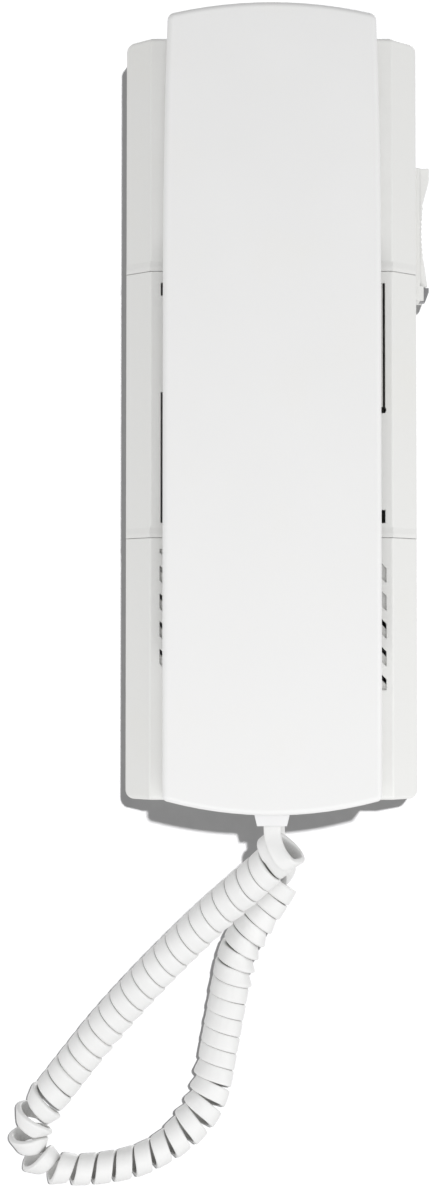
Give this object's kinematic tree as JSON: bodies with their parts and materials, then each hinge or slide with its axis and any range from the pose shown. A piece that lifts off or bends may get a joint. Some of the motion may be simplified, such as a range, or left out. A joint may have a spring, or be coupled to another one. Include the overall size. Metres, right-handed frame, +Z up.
{
  "type": "slimline wall phone",
  "caption": "White slim wall phone: a long flat handset hooked on a narrow louvred base, with a side key and a curly cord.",
  "frame": {"origin": "on the wall face of the base, midway between the two wall screw holes", "axes": "+Z up along the phone's length, -Y out from the wall towards the user, +X to the right as the user sees it"},
  "size_m": [0.1172, 0.05, 0.3262],
  "materials": {
    "base_plastic": "moulded plastic, very fine grain",
    "cover_plastic": "moulded plastic, very fine grain",
    "handset_plastic": "moulded plastic, smooth satin",
    "key_plastic": "moulded plastic",
    "bezel_plastic": "moulded plastic",
    "stop_plastic": "dark grey moulded plastic",
    "relief_plastic": "soft moulded plastic",
    "cord_sheath": "soft white sheath, slight sheen",
    "lead_sheath": "thin insulated wire",
    "zinc_steel": "zinc-plated steel",
    "spring_steel": "spring wire",
    "board_laminate": "brown paper laminate",
    "terminal_plastic": "green moulded plastic",
    "terminal_brass": "nickelled brass",
    "core_steel": "varnished laminations",
    "capacitor_sleeve": "shrunk sleeve",
    "frame_steel": "pressed steel",
    "cone_paper": "black paper",
    "magnet_ferrite": "ferrite",
    "foam": "closed-cell foam",
    "plunger_plastic": "acetal",
    "switch_plastic": "black moulded plastic",
    "button_plastic": "red moulded plastic",
    "capsule_plastic": "black moulded plastic",
    "capsule_steel": "drawn can",
    "sleeve_rubber": "soft rubber",
    "ballast_steel": "mild steel bar"
  },
  "bodies": {
    "base": {"rear_shell": "base_plastic", "upper_cover": "cover_plastic", "middle_panel": "cover_plastic", "lower_cover": "cover_plastic", "cover_screws": "zinc_steel", "circuit_board": "board_laminate", "board_screws": "zinc_steel", "terminal_block": "terminal_plastic", "terminal_screws": "terminal_brass", "speech_transformer": "core_steel", "capacitors": "capacitor_sleeve", "call_speaker_frame": "frame_steel", "call_speaker_gasket": "foam", "call_speaker_cone": "cone_paper", "call_speaker_magnet": "magnet_ferrite", "hook_spring": "spring_steel", "hook_switch": "switch_plastic", "slider_bezel": "bezel_plastic", "slider_stop": "stop_plastic", "slide_switch": "switch_plastic", "base_cord_grommet": "cord_sheath", "base_cord_tail": "cord_sheath", "speaker_leads": "lead_sheath", "curly_cord": "cord_sheath"},
    "hook_plunger": {"hook_plunger": "plunger_plastic"},
    "hook_switch_button": {"hook_switch_button": "button_plastic"},
    "side_key": {"side_slider": "key_plastic", "slide_switch_lever": "button_plastic"},
    "handset": {"handset_front_shell": "handset_plastic", "handset_back_shell": "handset_plastic", "handset_screws": "zinc_steel", "earpiece_capsule": "capsule_plastic", "earpiece_gasket": "foam", "microphone_capsule": "capsule_steel", "microphone_sleeve": "sleeve_rubber", "ballast_weight": "ballast_steel", "earpiece_leads": "lead_sheath", "microphone_leads": "lead_sheath", "handset_strain_relief": "relief_plastic"}
  },
  "joints": [
    {"name": "handset_lift", "type": "slide", "parent": "base", "child": "handset", "axis": [0, -0.9397, 0.342], "range_m": [0, 0.08]},
    {"name": "hook_plunger_travel", "type": "slide", "parent": "base", "child": "hook_plunger", "axis": [0, -1, 0], "range_m": [0, 0.003], "deforming": ["hook_spring"]},
    {"name": "hook_switch_button_travel", "type": "slide", "parent": "base", "child": "hook_switch_button", "axis": [0, -1, 0], "range_m": [0, 0.0008]},
    {"name": "side_key_slide", "type": "slide", "parent": "base", "child": "side_key", "axis": [0, 0, -1], "range_m": [0, 0.0026]}
  ],
  "couplings": [
    {"joint": "hook_plunger_travel", "follows": "handset_lift", "ratio": 0.0375},
    {"joint": "hook_switch_button_travel", "follows": "handset_lift", "ratio": 0.01}
  ]
}
